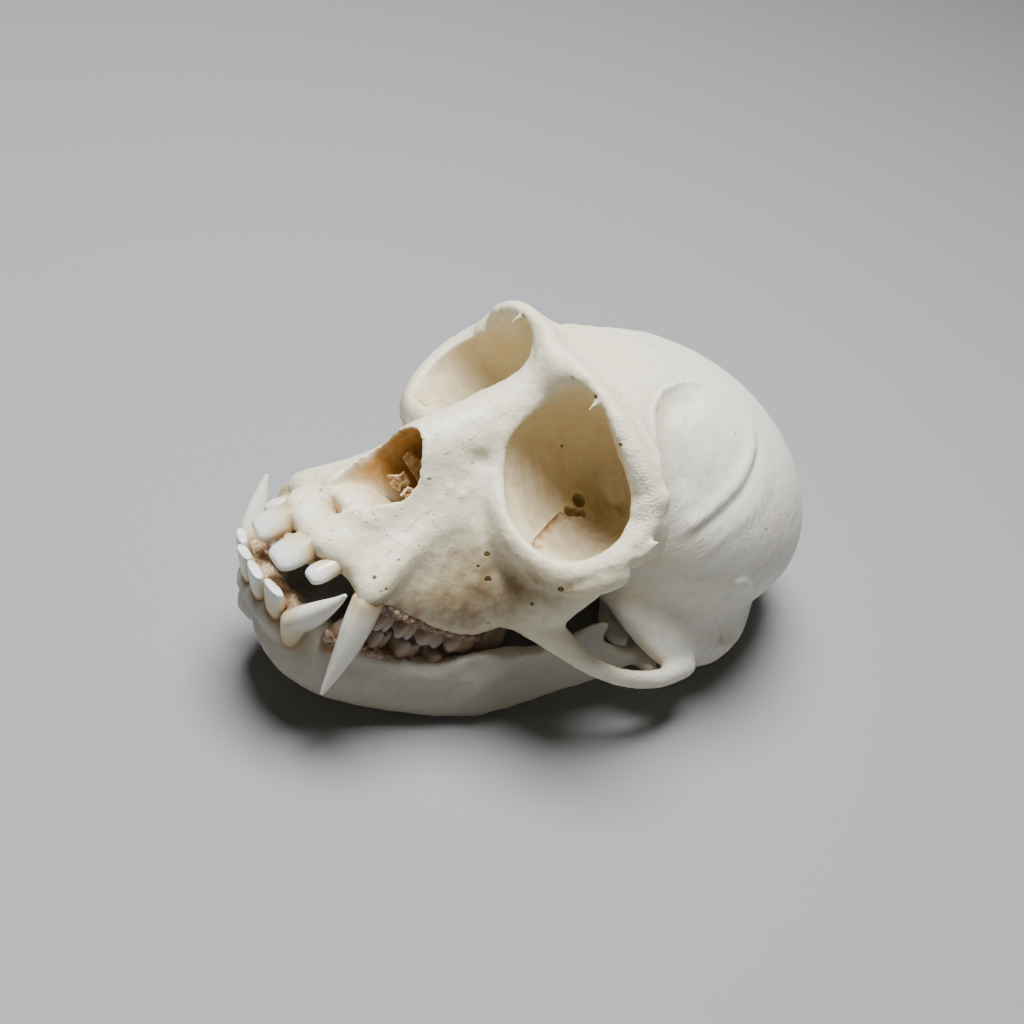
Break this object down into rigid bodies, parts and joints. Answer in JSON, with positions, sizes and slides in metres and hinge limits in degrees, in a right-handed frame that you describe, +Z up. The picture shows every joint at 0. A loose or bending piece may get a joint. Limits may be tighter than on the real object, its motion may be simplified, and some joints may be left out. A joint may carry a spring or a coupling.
{
  "type": "vervet monkey skull",
  "caption": "Monkey skull with its lower jaw and teeth in place, lying snout up on the jaw corners and the back of the head.",
  "frame": {"origin": "under the middle of the bounding box, on the table that the skull rests on", "axes": "-Y towards the snout, +X towards the skull's left, +Z up from the table"},
  "size_m": [0.0684, 0.116, 0.066],
  "materials": {
    "cranium_bone": "satin bone",
    "jaw_bone": "satin bone",
    "incisor_enamel": "glossy enamel",
    "canine_enamel": "glossy enamel",
    "cheek_tooth_enamel": "glossy enamel"
  },
  "bodies": {
    "root": {"cranium": "cranium_bone", "lower_jaw": "jaw_bone", "upper_incisor_1_left": "incisor_enamel", "upper_incisor_1_right": "incisor_enamel", "upper_incisor_2_left": "incisor_enamel", "upper_incisor_2_right": "incisor_enamel", "upper_canine_left": "canine_enamel", "upper_canine_right": "canine_enamel", "upper_premolar_3_left": "cheek_tooth_enamel", "upper_premolar_3_right": "cheek_tooth_enamel", "upper_premolar_4_left": "cheek_tooth_enamel", "upper_premolar_4_right": "cheek_tooth_enamel", "upper_molar_1_left": "cheek_tooth_enamel", "upper_molar_1_right": "cheek_tooth_enamel", "upper_molar_2_left": "cheek_tooth_enamel", "upper_molar_2_right": "cheek_tooth_enamel", "upper_molar_3_left": "cheek_tooth_enamel", "upper_molar_3_right": "cheek_tooth_enamel", "lower_incisor_1_left": "incisor_enamel", "lower_incisor_1_right": "incisor_enamel", "lower_incisor_2_left": "incisor_enamel", "lower_incisor_2_right": "incisor_enamel", "lower_canine_left": "canine_enamel", "lower_canine_right": "canine_enamel", "lower_premolar_3_left": "cheek_tooth_enamel", "lower_premolar_3_right": "cheek_tooth_enamel", "lower_premolar_4_left": "cheek_tooth_enamel", "lower_premolar_4_right": "cheek_tooth_enamel", "lower_molar_1_left": "cheek_tooth_enamel", "lower_molar_1_right": "cheek_tooth_enamel", "lower_molar_2_left": "cheek_tooth_enamel", "lower_molar_2_right": "cheek_tooth_enamel", "lower_molar_3_left": "cheek_tooth_enamel", "lower_molar_3_right": "cheek_tooth_enamel"}
  },
  "joints": []
}
